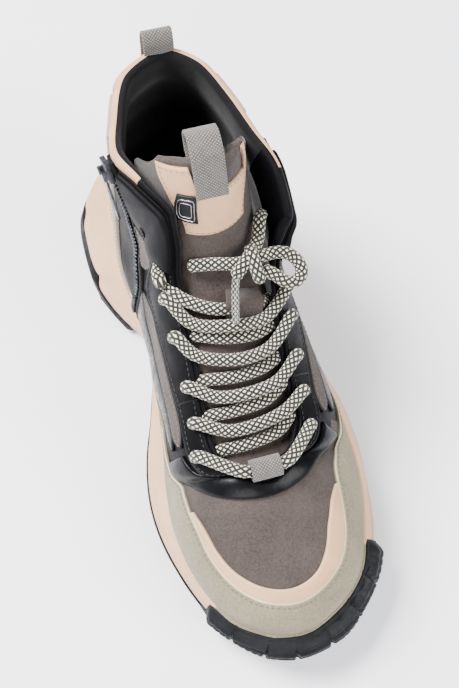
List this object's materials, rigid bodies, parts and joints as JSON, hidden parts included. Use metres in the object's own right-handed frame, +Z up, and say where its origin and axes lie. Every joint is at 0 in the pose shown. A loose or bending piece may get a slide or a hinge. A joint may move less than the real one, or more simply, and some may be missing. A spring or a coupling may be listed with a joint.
{
  "type": "sport boot",
  "caption": "High-top sport boot for the left foot with a thick sculpted sole, panelled upper, side zip, rope lacing, pull loops and a padded collar.",
  "frame": {"origin": "on the floor under the centre of the heel, on the flat underside of the heel rubber", "axes": "+X from heel to toe, +Y to the outer side of the foot, +Z up"},
  "size_m": [0.3066, 0.1171, 0.189],
  "materials": {
    "rubber": "matt black rubber",
    "midsole_foam": "matt peach-beige foam",
    "black_textile": "black woven lining",
    "greige_suede": "greige suede",
    "peach_leather": "smooth peach-beige leather",
    "gloss_leather": "glossy black leather with faint grey marbling",
    "black_leather": "smooth black leather",
    "taupe_suede": "taupe suede",
    "grey_suede": "light grey-beige suede",
    "webbing": "grey-beige dotted webbing",
    "lace_rope": "black rope lace with cream diamonds",
    "lace_sleeve": "clear sleeve over the end of the lace",
    "zip_metal": "dull grey zip metal"
  },
  "bodies": {
    "boot": {"outsole_forefoot": "rubber", "outsole_heel": "rubber", "midsole": "midsole_foam", "upper": "black_textile", "insole": "black_textile", "toe_mudguard": "greige_suede", "toe_trim": "peach_leather", "vamp_band": "gloss_leather", "eyestay_inner": "black_leather", "eyestay_outer": "black_leather", "side_stripe_inner": "taupe_suede", "side_stripe_outer": "taupe_suede", "side_insert_inner": "gloss_leather", "side_insert_outer": "gloss_leather", "side_leaf_inner": "taupe_suede", "ankle_strap_inner": "grey_suede", "ankle_strap_outer": "grey_suede", "heel_quarter": "black_leather", "heel_counter": "midsole_foam", "collar_back": "peach_leather", "zip_tape": "black_textile", "zip_teeth": "zip_metal", "zip_slider": "zip_metal", "tongue": "taupe_suede", "tongue_label": "peach_leather", "label_badge": "rubber", "lace_keeper": "taupe_suede", "tongue_pull_loop": "webbing", "heel_pull_loop": "webbing", "throat_loop": "webbing", "lace_bar": "lace_rope", "lace_crossings": "lace_rope", "lace_knot": "lace_rope", "lace_run_inner": "lace_rope", "lace_run_outer": "lace_rope", "lace_loop": "lace_rope", "lace_tip": "lace_sleeve"},
    "zip_pull": {"zip_pull_tab": "zip_metal"}
  },
  "joints": [
    {"name": "zip_tab_swing", "type": "hinge", "parent": "boot", "child": "zip_pull", "pos_m": [0.03042, -0.04194, 0.14865], "axis": [-0.8893, -0.1622, -0.4277], "range_deg": [0, 150]}
  ]
}
